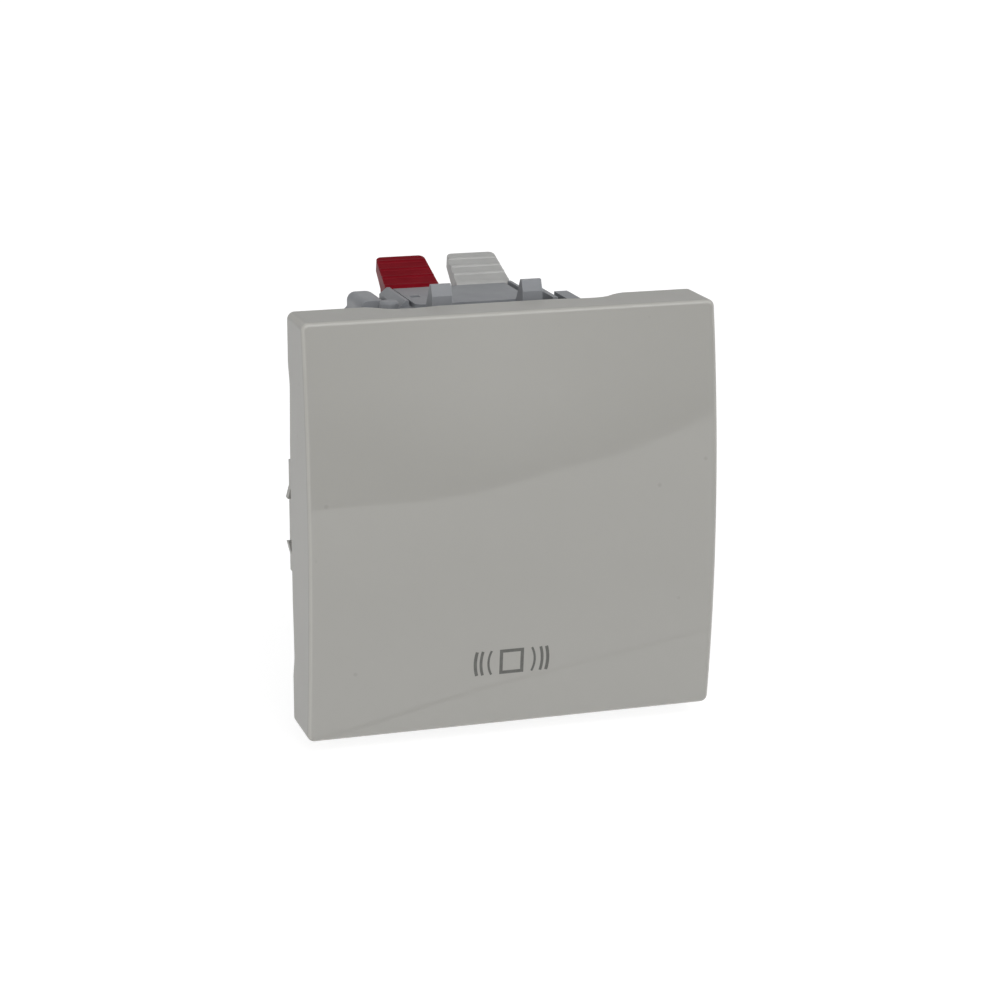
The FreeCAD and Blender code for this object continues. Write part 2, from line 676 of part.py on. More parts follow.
def make_frame():
    body = new_body("support_frame")
    rear = s.frame_front + s.frame_wall
    plate = new_sketch(body, "XZ", rear)
    round_rectangle(plate, s.frame_width / 2, s.frame_height / 2, s.frame_corner)
    pad(body, plate, s.frame_wall, "ahead")
    for side in (-1, 1):
        tongue = new_sketch(body, "XZ", rear)
        outer = side * s.tongue_span / 2
        root = side * (s.frame_width / 2 - s.tongue_root)
        rectangle(tongue, root, -s.tongue_low, outer, s.tongue_top)
        pad(body, tongue, rear + s.tongue_ahead, "ahead")
        nubs = new_sketch(body, "XZ")
        root = outer - side * s.nub_out
        tip = outer + side * s.nub_out
        outline(nubs, [
            (root, s.nub_top_step),
            (tip, s.nub_top_step),
            (outer, s.nub_top_end),
            (root, s.nub_top_end),
        ])
        outline(nubs, [
            (root, -s.nub_low_end),
            (outer, -s.nub_low_end),
            (tip, -s.nub_low_step),
            (root, -s.nub_low_step),
        ])
        pad(body, nubs, s.tongue_ahead, "ahead")

        # hooks that reach back over the housing's sides
        grip = side * (s.housing_width / 2 + s.snap_gap)
        for side_z in (-1, 1):
            arm = new_sketch(body, "XY", side_z * s.arm_half)
            outline(arm, [
                (grip, rear - s.frame_wall / 2),
                (grip + side * s.arm_wall, rear - s.frame_wall / 2),
                (grip + side * s.arm_wall, rear + s.arm_long - s.arm_nose),
                (grip, rear + s.arm_long),
                (grip - side * s.arm_nose, rear + s.arm_long - s.arm_nose * 2),
                (grip - side * s.arm_nose, rear + s.arm_long - s.arm_nose * 3),
                (grip, rear + s.arm_long - s.arm_nose * 3),
            ])
            pad(body, arm, s.arm_wide)
    opening = new_sketch(body, "XZ", rear + past)
    rectangle(opening, -s.frame_open_width / 2, -s.frame_open_height / 2,
              s.frame_open_width / 2, s.frame_open_height / 2)
    rectangle(opening, -s.notch_half, s.notch_floor, s.notch_half, s.frame_height / 2 + past)
    rectangle(opening, -s.notch_half, -s.frame_height / 2 - past, s.notch_half, -s.notch_floor)
    pocket(body, opening, s.frame_wall + past * 2, "ahead")
    return body


# Housing: body, tower, terminal block and chambers

def make_housing():
    body = new_body("housing")
    shell = new_sketch(body, "XZ", housing_front)
    round_rectangle(shell, s.housing_width / 2, s.housing_height / 2, s.housing_corner)
    pad(body, shell, s.housing_rear - housing_front, "back")
    rear = s.housing_rear.value - 1e-3
    soften(body, "Chamfer", s.housing_edge, lambda e: e.BoundBox.YMin > rear)

    tower = new_sketch(body, "YZ")
    outline(tower, [
        (s.block_front, s.chamber_top),
        (s.block_front, s.block_top),
        (s.slot_rear - s.roof_run, s.block_top),
        (s.slot_rear, s.roof_top),
        (s.block_rear, s.roof_top),
        (s.block_rear, s.block_low + s.block_bevel),
        (s.block_rear - s.block_bevel, s.block_low),
        (s.housing_rear - s.block_bevel, s.block_low),
        (s.housing_rear - s.block_bevel, s.chamber_top),
    ])
    pad(body, tower, s.block_half * 2)
    flank = s.block_half.value - 1e-3
    under = s.roof_top.value - 1e-3
    over = s.roof_top.value + 1e-3
    soften(body, "Chamfer", s.roof_bevel,
           lambda e: along(e, along_y) and abs(e.BoundBox.XMax) > flank
           and e.BoundBox.ZMin > under and e.BoundBox.ZMax < over)

    boss = new_sketch(body, "YZ")
    rectangle(boss, s.block_front, -s.block_top, s.cover_rear, s.housing_wall - s.housing_height / 2)
    pad(body, boss, (s.cover_half + s.side_gap) * 2)

    # shoulders beside the terminal cover
    left = new_sketch(body, "XZ", s.left_shoulder_front)
    root = s.housing_height / 2 - s.housing_wall / 2
    outer = s.left_shoulder_round
    inner = s.left_shoulder_edge
    outline(left, [
        (-s.left_shoulder_out, root),
        (-s.left_shoulder_out, s.shoulder_top - outer),
        (outer * 0.3 - s.left_shoulder_out, s.shoulder_top - outer * 0.3,
         outer - s.left_shoulder_out, s.shoulder_top),
        (-s.left_shoulder_in - inner, s.shoulder_top),
        (-s.left_shoulder_in - inner * 0.3, s.shoulder_top - inner * 0.3,
         -s.left_shoulder_in, s.shoulder_top - inner),
        (-s.left_shoulder_in, s.block_top - s.housing_wall / 2),
        (s.housing_wall / 3 - s.block_half, root),
    ])
    pad(body, left, s.left_shoulder_rear - s.left_shoulder_front, "back")
    right = new_sketch(body, "XZ", s.right_shoulder_front)
    rectangle(right, s.right_shoulder_in, root, s.right_shoulder_out, s.shoulder_top)
    pad(body, right, s.right_shoulder_rear - s.right_shoulder_front, "back")
    guide = new_sketch(body, "XZ", s.right_shoulder_front)
    rectangle(guide, s.guide_in, root, s.guide_out, s.guide_top)
    pad(body, guide, s.guide_rear - s.right_shoulder_front, "back")
    knob = new_sketch(body, "XY", root)
    circle(knob, -s.knob_out, s.knob_deep, s.knob_radius)
    pad(body, knob, s.knob_top - root, "ahead")
    rim = s.knob_top.value - 1e-3
    soften(body, "Fillet", s.knob_edge, lambda e: e.BoundBox.ZMin > rim)

    # contact chamber and the hollow under the deck
    inside = s.housing_width / 2 - s.housing_wall * 2
    room = new_sketch(body, "XZ", housing_front - past)
    rectangle(room, -inside, s.housing_wall - s.housing_height / 2, inside, s.chamber_top)
    pocket(body, room, bar_rear - housing_front + past, "back")
    hollow = new_sketch(body, "XZ", housing_front - past)
    rectangle(hollow, -inside, s.chamber_floor, inside, s.housing_height / 2 - s.housing_wall)
    pocket(body, hollow, s.hollow_rear - housing_front + past, "back")
    well = new_sketch(body, "XZ", bar_rear - past)
    circle(well, 0, -plunger_low, s.well_radius)
    pocket(body, well, s.spring_seat - bar_rear + past, "back")

    # terminal chambers, open at the top under cover and levers
    rooms = new_sketch(body, "XY", s.chamber_floor)
    slots = new_sketch(body, "XY", s.chamber_roof)
    for side in (-1, 1):
        rectangle(rooms, side * s.chamber_half, s.chamber_front, side * s.chamber_side, s.slot_rear)
        rectangle(slots, side * s.chamber_half, s.chamber_front, side * s.slot_side, s.slot_rear)
    pocket(body, slots, s.block_top - s.chamber_roof + past, "ahead")
    pocket(body, rooms, s.chamber_roof - s.chamber_floor, "ahead")
    ducts = new_sketch(body, "XZ", s.slot_rear - past)
    for side in (-1, 1):
        rectangle(ducts, side * s.chamber_half, s.chamber_floor, side * s.chamber_side, s.chamber_roof)
    pocket(body, ducts, s.block_rear - s.slot_rear + past * 2, "back")
    mouth = new_sketch(body, "XZ", cap_front)
    rectangle(mouth, -s.cap_side, cap_low - s.cap_gap, s.cap_side, s.chamber_roof)
    pocket(body, mouth, s.block_rear - cap_front + past, "back")
    passage = new_sketch(body, "XY", s.chamber_top - past)
    for side in (-1, 1):
        x0 = side * (s.tip_half - s.bar_width / 2 - s.snap_gap)
        x1 = side * (s.tip_half + s.bar_width / 2 + s.snap_gap)
        rectangle(passage, x0, bar_front - s.snap_gap, x1, bar_rear)
    pocket(body, passage, s.chamber_floor - s.chamber_top + past * 2, "ahead")

    pin = new_sketch(body, "YZ")
    circle(pin, s.lever_axis_deep, s.lever_axis_high, s.lever_pin_radius + s.running_gap / 2)
    pocket(body, pin, s.block_half * 2 + past * 2)
    for side in (-1, 1):
        catch = new_sketch(body, "XY")
        nose_front = housing_front + s.arm_long - s.arm_nose * 3 - s.snap_gap
        rectangle(catch, side * (s.housing_width / 2 - s.arm_nose - s.snap_gap), nose_front,
                  side * (s.housing_width / 2 + past), housing_front + s.arm_long + s.snap_gap)
        pocket(body, catch, (s.arm_half + s.arm_wide / 2 + s.snap_gap) * 2)
    return body


# Rear cover with the four wire entries

cap_rear = s.block_rear - s.cap_inset
cap_front = cap_rear - s.cap_wall
cap_low = s.chamber_floor - s.housing_wall / 2
contact_face = s.bridge_front + s.bridge_wall + s.tip_wall + travel + s.contact_gap
bar_front = contact_face + s.tip_wall
bar_rear = bar_front + s.bar_wall


def make_rear_cover():
    body = new_body("rear_cover")
    plate = new_sketch(body, "XZ", cap_rear)
    rectangle(plate, s.cap_gap - s.cap_side, cap_low, s.cap_side - s.cap_gap, s.chamber_roof - s.cap_gap)
    pad(body, plate, s.cap_wall, "ahead")
    entries = new_sketch(body, "XZ", cap_rear + past)
    for side in (-1, 1):
        for place in (s.wire_inner, s.wire_outer):
            circle(entries, side * place, s.wire_height, s.wire_radius)
    pocket(body, entries, s.cap_wall + past * 2, "ahead")
    mouth = cap_rear.value - 1e-3
    soften(body, "Chamfer", s.wire_mouth,
           lambda e: e.Curve.TypeId == "Part::GeomCircle" and e.BoundBox.YMin > mouth)
    return body


# Snap covers: the upper one closes the terminals, the lower one is only the latch

def make_latch(label, up):
    """up is 1 for the terminal cover and -1 for the lower latch."""
    body = new_body(label)
    base = new_sketch(body, "XY", up * s.block_top)
    rectangle(base, -s.cover_half, s.cover_front, s.cover_half, s.cover_rear)
    way = "ahead" if up > 0 else "back"
    pad(body, base, s.cover_base, way)
    raised = new_sketch(body, "XY", up * s.block_top)
    edge = s.plate_corner
    outline(raised, [
        (s.plate_half - edge, s.cover_front),
        (s.plate_half - edge * 0.3, s.cover_front + edge * 0.3, s.plate_half, s.cover_front + edge),
        (s.plate_half, s.cover_rear),
        (-s.plate_half, s.cover_rear),
        (-s.plate_half, s.cover_front + edge),
        (edge * 0.3 - s.plate_half, s.cover_front + edge * 0.3, edge - s.plate_half, s.cover_front),
    ])
    pad(body, raised, s.cover_top - s.block_top, way)
    ribs = new_sketch(body, "XZ", s.rib_front)
    for side in (-1, 1):
        outline(ribs, [
            (side * (s.cover_half - s.rib_wall), up * (s.block_top + s.cover_base / 2)),
            (side * s.cover_half, up * (s.block_top + s.cover_base / 2)),
            (side * s.cover_half, up * (s.block_top + s.cover_base)),
            (side * (s.cover_half - s.rib_lean), up * (s.block_top + s.rib_high)),
            (side * (s.cover_half - s.rib_wall), up * (s.block_top + s.rib_high)),
        ])
    pad(body, ribs, s.cover_rear - s.rib_front, "back")

    # springy tongue with its two teeth
    tongue = new_sketch(body, "YZ")
    top = s.latch_under + s.latch_wall
    rectangle(tongue, s.latch_front, up * s.latch_under, s.cover_front + s.latch_wall, up * top)
    pad(body, tongue, s.plate_half * 2)
    for side in (-1, 1):
        tooth = new_sketch(body, "YZ", side * (s.tooth_in + s.tooth_out) / 2)
        outline(tooth, [
            (s.latch_front, up * (s.latch_under + s.latch_wall / 2)),
            (s.latch_front, up * s.tooth_crease),
            (s.latch_front + s.tooth_lean, up * s.tooth_top),
            (s.latch_front + s.tooth_lean * 2, up * s.tooth_top),
            (s.latch_front + s.tooth_long, up * (s.latch_under + s.latch_wall / 2)),
        ])
        pad(body, tooth, s.tooth_out - s.tooth_in)
    if up > 0:
        # moulding window in the raised plate
        window = new_sketch(body, "XY", s.cover_top + past)
        edge = s.window_edge - s.plate_half
        rectangle(window, edge, s.window_front, edge + s.window_wide, s.window_rear)
        pocket(body, window, s.window_deep + past, "back")
    return body


# Wire release levers

def make_lever(label, side):
    body = new_body(label)
    middle = side * s.lever_half
    front = s.cover_rear + s.lever_gap
    arm = new_sketch(body, "YZ", middle)
    wall = s.lever_wall
    root = s.lever_root
    edge = s.lever_round
    outline(arm, [
        (front, s.lever_axis_high + wall / 2),
        (front, s.lever_rise - edge),
        (front + edge * 0.3, s.lever_rise - edge * 0.28, front + edge, s.lever_rise),
        (s.lever_tip_deep, s.lever_tip_high),
        (s.lever_tip_deep + wall * 0.22, s.lever_tip_high - wall * 0.9),
        (s.lever_tip_deep - wall * 0.2, s.lever_tip_high - wall * 1.25),
        (front + root * 1.12, s.lever_rise - wall * 0.75),
        (front + root, s.lever_axis_high + wall * 0.67),
    ])
    pad(body, arm, s.lever_width)
    sides = new_sketch(body, "XY", s.lever_tip_high + past)
    for way in (-1, 1):
        foot = middle + way * s.lever_width / 2
        outline(sides, [
            (foot, front + edge),
            (foot + way * past, front + edge),
            (foot + way * past, s.lever_tip_deep + past),
            (middle + way * s.lever_tip_width / 2, s.lever_tip_deep + past),
        ])
    pocket(body, sides, s.lever_tip_high - s.lever_rise + past + s.lever_wall * 2, "back")
    tip = (s.lever_tip_deep - edge / 4).value
    soften(body, "Fillet", s.lever_corner,
           lambda e: e.BoundBox.YMin > tip and not along(e, along_x))
    hub = new_sketch(body, "YZ", middle)
    circle(hub, s.lever_axis_deep, s.lever_axis_high, s.lever_hub)
    pad(body, hub, s.lever_width)
    nose = new_sketch(body, "YZ", middle)
    reach = s.lever_nose_long
    outline(nose, [
        (s.lever_axis_deep - wall / 2, s.lever_axis_high + wall * 0.83),
        (s.lever_axis_deep - reach, s.lever_axis_high - reach * 0.58),
        (s.lever_axis_deep - reach * 1.06, s.lever_axis_high - reach * 0.73,
         s.lever_axis_deep - reach * 0.88, s.lever_axis_high - reach * 0.79),
        (s.lever_axis_deep + wall / 2, s.lever_axis_high - wall),
    ])
    pad(body, nose, s.lever_width * 2 / 3)
    bore = new_sketch(body, "YZ", middle)
    circle(bore, s.lever_axis_deep, s.lever_axis_high, s.lever_pin_radius + s.running_gap)
    pocket(body, bore, s.lever_width + past * 2)

    # broad cross ribs for the finger, along the sloping back of the lever
    run = s.lever_tip_deep - front - edge
    rise = (s.lever_tip_high - s.lever_rise) / run
    narrow = (s.lever_width - s.lever_tip_width) / run
    for count in range(3):
        place = s.grip_first + s.grip_pitch * count
        rib = new_sketch(body, "YZ", middle)
        circle(rib, front + edge + place, s.lever_rise + rise * place - s.grip_sink, s.grip_radius)
        pad(body, rib, s.lever_width - narrow * (place + s.grip_radius))
    return body


# Current path

def make_bar(label, side):
    body = new_body(label)
    upright = new_sketch(body, "YZ", side * s.tip_half)
    rectangle(upright, bar_front, -plunger_low - s.bar_below, bar_rear, s.bar_top)
    pad(body, upright, s.bar_width)
    shelf = new_sketch(body, "YZ", side * (s.chamber_half + s.chamber_side) / 2)
    rectangle(shelf, bar_front, s.bar_top - s.bar_wall, s.bar_end, s.bar_top)
    pad(body, shelf, s.bar_shelf)
    return body


def make_pair(label, face, way):
    """Two contact tips in one group."""
    tips = []
    for side in (-1, 1):
        tip = doc.addObject("Part::Cylinder", label + "_tip")
        bind(tip, "Radius", s.tip_radius)
        bind(tip, "Height", s.tip_wall)
        tip.Placement = FreeCAD.Placement(vector(0, 0, 0), FreeCAD.Rotation(vector(1, 0, 0), -90))
        bind(tip, "Placement.Base.x", side * s.tip_half)
        bind(tip, "Placement.Base.y", face if way > 0 else face - s.tip_wall)
        bind(tip, "Placement.Base.z", -plunger_low)
        tips.append(tip)
    pair = doc.addObject("Part::Compound", label)
    pair.Label = label
    pair.Links = tips
    doc.recompute()
    return pair


def make_bridge():
    body = new_body("contact_bridge")
    strip = new_sketch(body, "XZ", s.bridge_front + s.bridge_wall)
    half = s.bridge_width / 2
    rectangle(strip, -half, -plunger_low - s.bridge_height / 2,
              half, s.bridge_height / 2 - plunger_low)
    circle(strip, 0, -plunger_low, s.core_radius + s.running_gap)
    pad(body, strip, s.bridge_wall, "ahead")
    return body


def make_plunger():
    """Turned about its own axis: stem, shoulder, core and the ring behind the bridge."""
    body = new_body("plunger")
    profile = new_sketch(body, "YZ")
    low = -plunger_low
    ring_front = s.bridge_front + s.bridge_wall
    shoulder_rear = s.plunger_shoulder + s.shoulder_wall
    outline(profile, [
        (plunger_front, low),
        (plunger_front, low + s.plunger_radius * 0.6),
        (plunger_front + s.plunger_radius * 0.08, low + s.plunger_radius * 0.88,
         plunger_front + s.plunger_radius * 0.33, low + s.plunger_radius),
        (s.plunger_shoulder, low + s.plunger_radius),
        (s.plunger_shoulder, low + s.shoulder_radius),
        (shoulder_rear, low + s.shoulder_radius),
        (shoulder_rear, low + s.core_radius),
        (ring_front, low + s.core_radius),
        (ring_front, low + s.stop_ring_radius),
        (ring_front + s.stop_ring_wall, low + s.stop_ring_radius),
        (ring_front + s.stop_ring_wall, low + s.core_radius),
        (ring_front + s.stop_ring_wall + s.core_long, low + s.core_radius),
        (ring_front + s.stop_ring_wall + s.core_long, low),
    ])
    turned = body.newObject("PartDesign::Revolution", "Revolution")
    turned.Profile = profile
    bottom = [i for i, g in enumerate(profile.Geometry)
              if g.TypeId == "Part::GeomLineSegment" and abs(g.StartPoint.y - g.EndPoint.y) < 1e-9
              and abs(g.StartPoint.y + plunger_low.value) < 1e-9]
    turned.ReferenceAxis = (profile, ["Edge%d" % (bottom[0] + 1)])
    turned.Angle = 360
    doc.recompute()
    return body


# Springs

def make_clamp(label, side):
    body = new_body(label)
    strip = new_sketch(body, "YZ", side * (s.chamber_half + s.slot_side) / 2)
    wall = s.clamp_wall
    top = s.block_top - s.stop_gap
    bend = s.lever_axis_deep - s.lever_nose_long + wall
    foot = bend - s.clamp_reach
    low = s.bar_top + wall
    outline(strip, [
        (s.chamber_front + wall, top),
        (bend - wall * 2.5, top),
        (bend - wall * 0.25, top - wall * 1.25, bend, top - wall * 3.75),
        (foot, low),
        (foot - wall, low + wall / 2),
        (bend - wall, top - wall * 3.62),
        (bend - wall * 1.25, top - wall * 1.88, bend - wall * 2.5, top - wall),
        (s.chamber_front + wall, top - wall),
    ])
    pad(body, strip, s.clamp_width)
    return body


def biarc(start, start_way, end, end_way):
    """Two arcs that leave start and reach end along the given unit directions."""
    span = end - start
    both = start_way + end_way
    lean = 2 * (1 - start_way.dot(end_way))
    reach = (math.sqrt(span.dot(both) ** 2 + lean * span.dot(span)) - span.dot(both)) / lean
    first = start + start_way * reach
    second = end - end_way * reach
    joint = (first + second) * 0.5
    edges = []
    for a, b, c in ((start, first, joint), (joint, second, end)):
        weight = (c - a).normalize().dot((b - a).normalize())
        middle = (a + b * (2 * weight) + c) * (1 / (2 + 2 * weight))
        edges.append(Part.Arc(a, middle, c).toShape())
    return edges


def make_coil(label, wire, radius, front, rear, turns):
    """Coil spring about the plunger's axis, one unbroken six-sided tube with straight ends."""
    wire, radius = wire.value, radius.value
    low = -plunger_low.value
    first = front.value + wire / 2
    last = rear.value - wire / 2
    parts_of_turn = 2
    corner_count = 6

    def place(step):
        angle = 2 * math.pi * step / parts_of_turn
        share = step / (turns * parts_of_turn)
        spot = vector(radius * math.cos(angle), first + (last - first) * share,
                      low + radius * math.sin(angle))
        rise = (last - first) / (turns * 2 * math.pi)
        way = vector(-radius * math.sin(angle), rise, radius * math.cos(angle))
        return spot, way.normalize()

    edges = []
    steps = turns * parts_of_turn
    start, way = place(0)
    edges.append(Part.LineSegment(start - way * wire, start).toShape())
    for step in range(steps):
        a, way_a = place(step)
        b, way_b = place(step + 1)
        edges += biarc(a, way_a, b, way_b)
    end, way = place(steps)
    edges.append(Part.LineSegment(end, end + way * wire).toShape())
    path = Part.Wire(edges)
    begin = edges[0].Vertexes[0].Point
    ahead = edges[0].tangentAt(edges[0].FirstParameter)
    across = ahead.cross(along_x).normalize()
    other = ahead.cross(across)
    corners = []
    for step in range(corner_count + 1):
        angle = 2 * math.pi * (step + 0.5) / corner_count
        corners.append(begin + (across * math.cos(angle) + other * math.sin(angle)) * (wire / 2))
    tube = path.makePipeShell([Part.makePolygon(corners)], True, False)
    solid = Part.makeSolid(tube) if tube.ShapeType != "Solid" else tube
    pitch = (last - first) / turns
    print("%s: least gap between turns %.2f mm" % (label, pitch - wire))
    coil = doc.addObject("Part::Feature", label)
    coil.Label = label
    coil.Shape = solid
    coil.Placement = FreeCAD.Placement()
    return coil


# Assembly

pieces = [
    make_key(),
    make_rocker(),
    make_rod("rocker_axle", s.axle_radius, ear_out, hinge_y, 0),
    make_deck(),
    make_frame(),
    make_housing(),
    make_rear_cover(),
    make_latch("terminal_cover", 1),
    make_latch("lower_latch", -1),
    make_lever("red_lever", -1),
    make_lever("white_lever", 1),
    make_rod("lever_pin", s.lever_pin_radius, s.block_half, s.lever_axis_deep, s.lever_axis_high),
    make_bar("phase_bar", -1),
    make_bar("output_bar", 1),
    make_pair("fixed_contacts", contact_face, 1),
    make_bridge(),
    make_pair("moving_contacts", s.bridge_front + s.bridge_wall, 1),
    make_plunger(),
    make_clamp("phase_clamp_spring", -1),
    make_clamp("output_clamp_spring", 1),
    make_coil("return_spring", s.return_wire, s.return_coil,
              s.bridge_front + s.bridge_wall + s.stop_ring_wall, s.spring_seat, 5),
    make_coil("contact_spring", s.contact_wire, s.contact_coil,
              s.plunger_shoulder + s.shoulder_wall, s.bridge_front, 2),
]
doc.recompute()

for thing in doc.Objects:
    if "Invalid" in thing.State or "Error" in thing.State:
        raise RuntimeError("%s failed to build" % thing.Label)
for piece in pieces:
    shape = piece.Shape
    if shape.isNull() or not shape.isValid() or not shape.Solids:
        raise RuntimeError("%s has no valid shape" % piece.Label)
for piece in pieces:
    piece.Shape.exportStep("parts/%s.step" % piece.Label)
    box = piece.Shape.BoundBox
    print("%-20s solids %d volume %9.2f  x %.2f..%.2f y %.2f..%.2f z %.2f..%.2f" % (
        piece.Label, len(piece.Shape.Solids), piece.Shape.Volume,
        box.XMin, box.XMax, box.YMin, box.YMax, box.ZMin, box.ZMax))
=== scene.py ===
import json
from math import asin, cos, pi, radians, sin

import bmesh
import bpy
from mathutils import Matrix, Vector


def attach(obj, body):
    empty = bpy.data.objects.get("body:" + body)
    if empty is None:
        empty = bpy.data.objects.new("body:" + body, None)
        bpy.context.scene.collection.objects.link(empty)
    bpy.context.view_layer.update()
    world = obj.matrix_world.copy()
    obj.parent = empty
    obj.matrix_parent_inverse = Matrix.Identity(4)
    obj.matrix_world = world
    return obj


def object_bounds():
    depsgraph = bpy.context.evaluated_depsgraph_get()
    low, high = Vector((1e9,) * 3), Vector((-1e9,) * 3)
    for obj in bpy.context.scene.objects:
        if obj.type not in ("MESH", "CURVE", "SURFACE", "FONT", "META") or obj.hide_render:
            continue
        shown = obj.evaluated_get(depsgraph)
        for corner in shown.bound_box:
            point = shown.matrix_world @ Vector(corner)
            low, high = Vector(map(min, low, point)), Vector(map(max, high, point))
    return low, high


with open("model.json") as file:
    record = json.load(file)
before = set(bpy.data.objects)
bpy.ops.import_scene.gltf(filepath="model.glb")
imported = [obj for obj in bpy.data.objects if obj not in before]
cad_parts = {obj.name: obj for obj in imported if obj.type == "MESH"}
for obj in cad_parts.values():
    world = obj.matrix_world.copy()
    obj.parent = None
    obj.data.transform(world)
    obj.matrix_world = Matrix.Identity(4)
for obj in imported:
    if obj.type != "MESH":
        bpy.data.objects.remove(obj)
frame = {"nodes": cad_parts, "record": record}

# Push-button switch module: bowed ivory key in front of a grey snap-in mechanism.
# Metres, same frame as the solids: x right, y back into the wall, z up.

nodes = frame["nodes"]
cadLow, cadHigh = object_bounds()
mm = 0.001
print("frame loaded, nodes:", len(nodes))


# small helpers for node trees

def startMaterial(name):
    material = bpy.data.materials.new(name)
    material.use_nodes = True
    tree = material.node_tree
    tree.nodes.clear()
    shader = tree.nodes.new("ShaderNodeBsdfPrincipled")
    output = tree.nodes.new("ShaderNodeOutputMaterial")
    tree.links.new(shader.outputs["BSDF"], output.inputs["Surface"])
    return material, tree, shader


def place(tree, stretch=(1, 1, 1)):
    # object coordinates, in metres, stretched for drawn or brushed finishes
    coord = tree.nodes.new("ShaderNodeTexCoord")
    mapping = tree.nodes.new("ShaderNodeMapping")
    mapping.inputs["Scale"].default_value = stretch
    tree.links.new(coord.outputs["Object"], mapping.inputs["Vector"])
    return mapping.outputs["Vector"]


def cloud(tree, where, size, detail=3, rough=0.55):
    # noise whose blobs are about size millimetres wide
    node = tree.nodes.new("ShaderNodeTexNoise")
    node.inputs["Scale"].default_value = 1 / (size * mm)
    node.inputs["Detail"].default_value = detail
    node.inputs["Roughness"].default_value = rough
    tree.links.new(where, node.inputs["Vector"])
    return node.outputs["Fac"]


def ranged(tree, value, low, high, fromLow=0.3, fromHigh=0.7):
    node = tree.nodes.new("ShaderNodeMapRange")
    node.inputs["From Min"].default_value = fromLow
    node.inputs["From Max"].default_value = fromHigh
    node.inputs["To Min"].default_value = low
    node.inputs["To Max"].default_value = high
    tree.links.new(value, node.inputs["Value"])
    return node.outputs["Result"]


def mixed(tree, share, first, second):
    node = tree.nodes.new("ShaderNodeMix")
    node.data_type = "RGBA"
    tree.links.new(share, node.inputs[0])
    for socket, colour in ((node.inputs[6], first), (node.inputs[7], second)):
        if hasattr(colour, "node"):
            tree.links.new(colour, socket)
        else:
            socket.default_value = (*colour, 1)
    return node.outputs[2]


def reckoned(tree, operation, first, second):
    # first and second are sockets or plain numbers
    node = tree.nodes.new("ShaderNodeMath")
    node.operation = operation
    for socket, value in zip(node.inputs, (first, second)):
        if hasattr(value, "node"):
            tree.links.new(value, socket)
        else:
            socket.default_value = value
    return node.outputs[0]


def times(tree, first, second):
    return reckoned(tree, "MULTIPLY", first, second)


def plus(tree, first, second):
    return reckoned(tree, "ADD", first, second)


edgeSpan = (0.998, 0.92)  # how far the bevelled normal agrees with the true one


def edgeMask(tree, radius):
    # 0 on open faces, 1 on edges that are sharper than the given radius in millimetres
    bevel = tree.nodes.new("ShaderNodeBevel")
    bevel.samples = 6
    bevel.inputs["Radius"].default_value = radius * mm
    geometry = tree.nodes.new("ShaderNodeNewGeometry")
    dot = tree.nodes.new("ShaderNodeVectorMath")
    dot.operation = "DOT_PRODUCT"
    tree.links.new(bevel.outputs["Normal"], dot.inputs[0])
    tree.links.new(geometry.outputs["Normal"], dot.inputs[1])
    return ranged(tree, dot.outputs["Value"], 0, 1, *edgeSpan)


frontSpan = (-0.97, -0.37)  # y of the normal, from the front to the side


def facing(tree):
    # 1 where the piece's own surface looks to the front, 0 elsewhere
    coord = tree.nodes.new("ShaderNodeTexCoord")
    split = tree.nodes.new("ShaderNodeSeparateXYZ")
    tree.links.new(coord.outputs["Normal"], split.inputs[0])
    return ranged(tree, split.outputs["Y"], 1, 0, *frontSpan)


roundSpan = (0.85, 0.988)  # largest part of the normal, from a rounding to a flat side


def roundedMask(tree):
    # 1 on the rounded edges of a square-cut piece, 0 on its flat sides
    coord = tree.nodes.new("ShaderNodeTexCoord")
    size = tree.nodes.new("ShaderNodeVectorMath")
    size.operation = "ABSOLUTE"
    tree.links.new(coord.outputs["Normal"], size.inputs[0])
    split = tree.nodes.new("ShaderNodeSeparateXYZ")
    tree.links.new(size.outputs[0], split.inputs[0])
    widest = split.outputs["X"]
    for axis in ("Y", "Z"):
        widest = reckoned(tree, "MAXIMUM", widest, split.outputs[axis])
    return ranged(tree, widest, 1, 0, *roundSpan)


def bumped(tree, shader, height, depth, under=None):
    node = tree.nodes.new("ShaderNodeBump")
    node.inputs["Distance"].default_value = depth * mm
    node.inputs["Strength"].default_value = 1
    tree.links.new(height, node.inputs["Height"])
    if under is not None:
        tree.links.new(under, node.inputs["Normal"])
    if shader is not None:
        tree.links.new(node.outputs["Normal"], shader.inputs["Normal"])
    return node.outputs["Normal"]


# moulded plastics

speckCore = 0.025  # full strength of a speck ends here, as a share of the gap between specks
leastRub = 0.35


